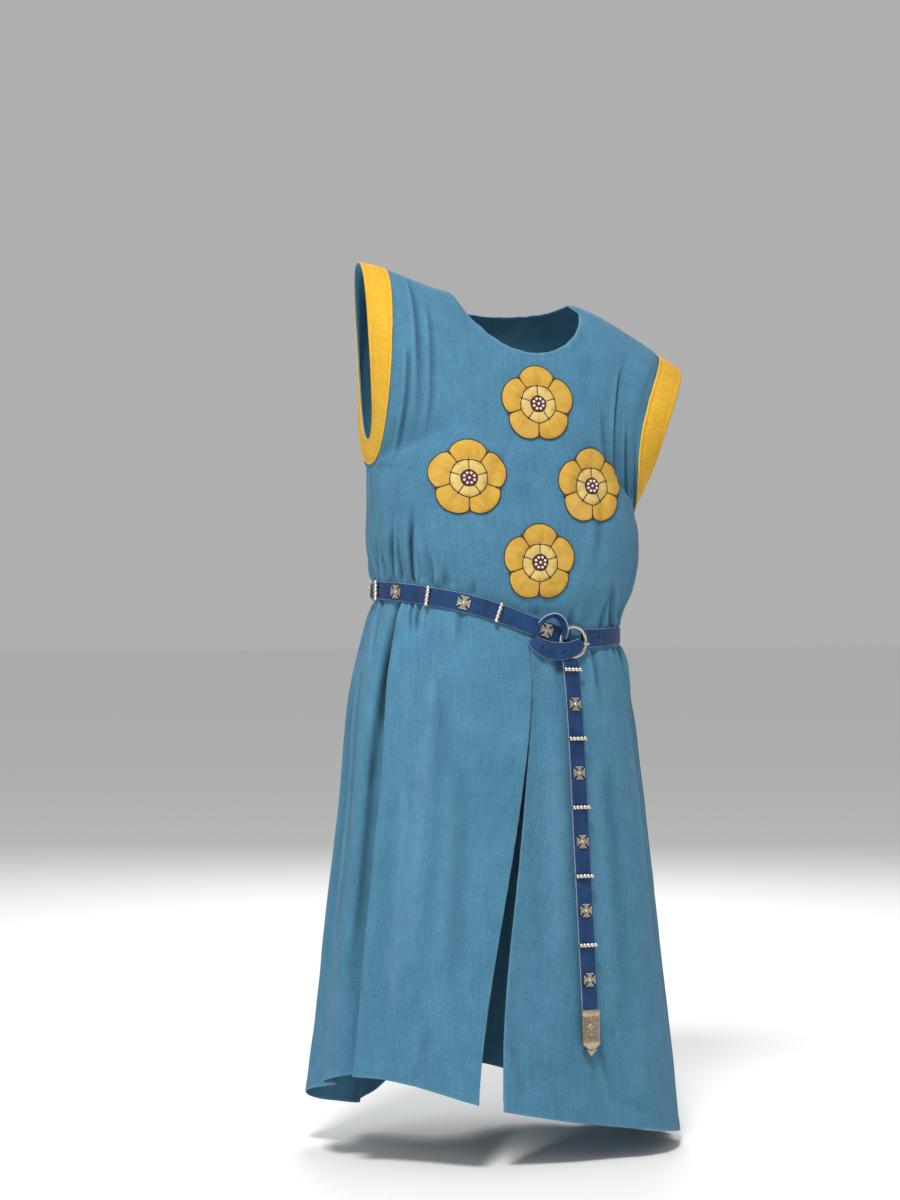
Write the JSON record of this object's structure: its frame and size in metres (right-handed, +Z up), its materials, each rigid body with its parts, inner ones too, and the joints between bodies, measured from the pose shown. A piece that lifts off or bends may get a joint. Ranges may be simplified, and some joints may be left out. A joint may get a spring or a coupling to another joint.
{
  "type": "medieval surcoat with belt",
  "caption": "Sleeveless blue medieval surcoat with yellow armhole borders, four heraldic roses, a front slit and a blue leather belt with ring buckle, as worn.",
  "frame": {"origin": "middle of the neck opening at shoulder height, where the wearer's shoulders carry the garment", "axes": "+Z up, the front of the garment faces -Y, +X towards the wearer's left"},
  "size_m": [0.5455, 0.4073, 1.2502],
  "materials": {
    "blue_cloth": "matt",
    "yellow_cloth": "matt",
    "gold_embroidery": "satin",
    "blue_leather": "satin",
    "old_silver": "polished",
    "old_bronze": "satin"
  },
  "bodies": {
    "root": {"front": "blue_cloth", "back": "blue_cloth", "armband_right": "yellow_cloth", "armband_left": "yellow_cloth", "rose_top": "gold_embroidery", "rose_right": "gold_embroidery", "rose_left": "gold_embroidery", "rose_low": "gold_embroidery", "belt_waist": "blue_leather", "belt_return": "blue_leather", "belt_loop": "blue_leather", "belt_tail": "blue_leather", "buckle_ring": "old_silver", "buckle_tongue": "old_silver", "bar_waist_1": "old_silver", "bar_waist_2": "old_silver", "bar_waist_3": "old_silver", "bar_waist_4": "old_silver", "bar_waist_5": "old_silver", "bar_waist_6": "old_silver", "bar_tail_1": "old_silver", "bar_tail_2": "old_silver", "bar_tail_3": "old_silver", "bar_tail_4": "old_silver", "bar_tail_5": "old_silver", "stud_waist_1": "old_silver", "stud_waist_2": "old_silver", "stud_waist_3": "old_silver", "stud_waist_4": "old_silver", "stud_waist_5": "old_silver", "stud_waist_6": "old_silver", "stud_buckle_1": "old_silver", "stud_tail_1": "old_silver", "stud_tail_2": "old_silver", "stud_tail_3": "old_silver", "stud_tail_4": "old_silver", "stud_tail_5": "old_silver", "strap_end": "old_bronze"}
  },
  "joints": []
}
